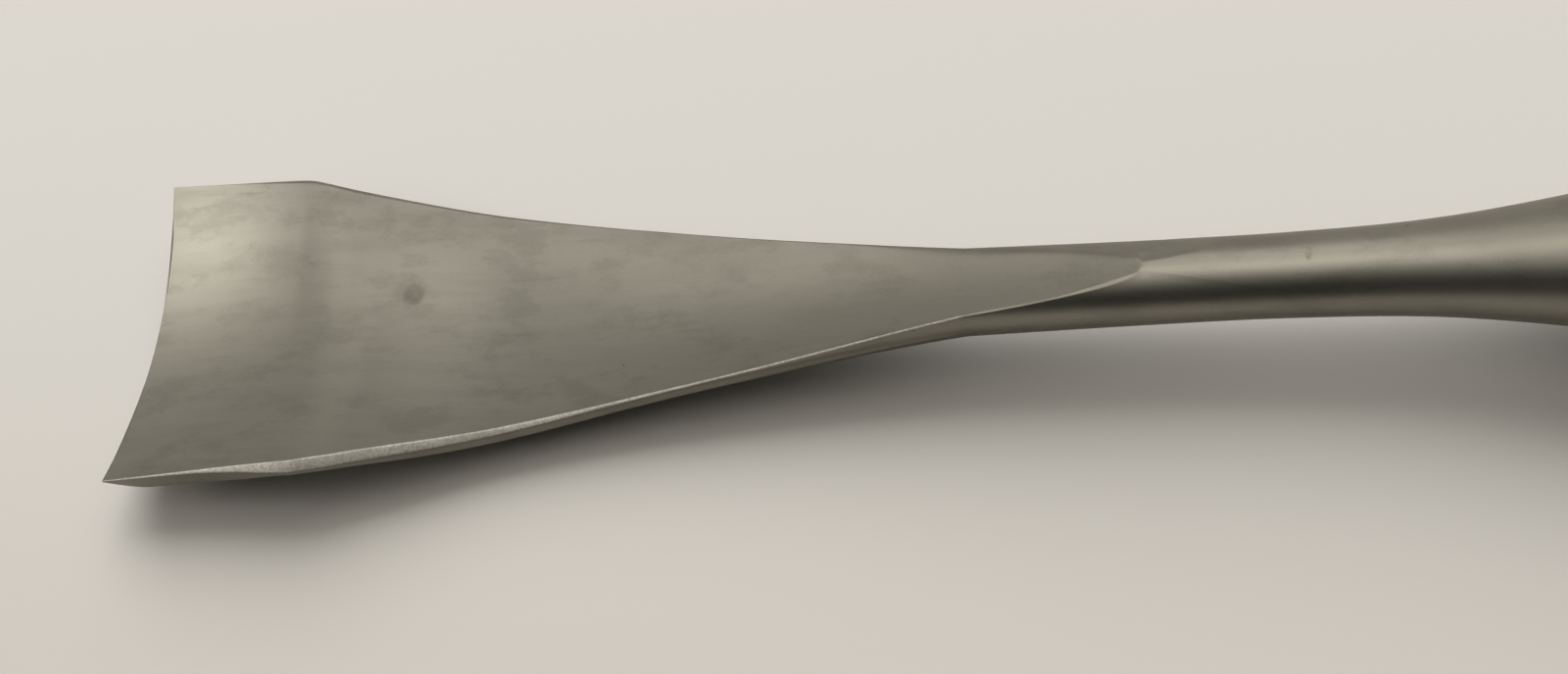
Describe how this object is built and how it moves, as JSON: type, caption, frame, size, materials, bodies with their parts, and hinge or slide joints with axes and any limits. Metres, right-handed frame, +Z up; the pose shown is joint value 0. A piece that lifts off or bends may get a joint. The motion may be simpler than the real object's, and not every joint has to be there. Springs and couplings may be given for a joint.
{
  "type": "palette knife",
  "caption": "Dished steel palette and plaster knife: a flared, hollow-ground blade on a round neck, brazed into a hollow steel handle with a hang hole.",
  "frame": {"origin": "middle of the box of the tool at rest, on the surface that it lies on", "axes": "+X from the tip to the handle's end, +Z up, with the hollow face of the blade upwards, +Y across"},
  "size_m": [0.2622, 0.0368, 0.0215],
  "materials": {
    "forged_steel": "bead-blasted and lightly brushed stainless steel, satin, with faint stains",
    "pressed_steel": "bead-blasted pressed stainless steel, satin",
    "braze": "silver braze dressed flush, a little warmer than the steel",
    "resin": "cast mineral-filled resin, unseen inside the handle"
  },
  "bodies": {
    "root": {"blade": "forged_steel", "handle_shell_left": "pressed_steel", "handle_shell_right": "pressed_steel", "seam_braze": "braze", "collar_braze": "braze", "tang_filler": "resin", "end_cap": "pressed_steel", "cap_braze": "braze"}
  },
  "joints": []
}
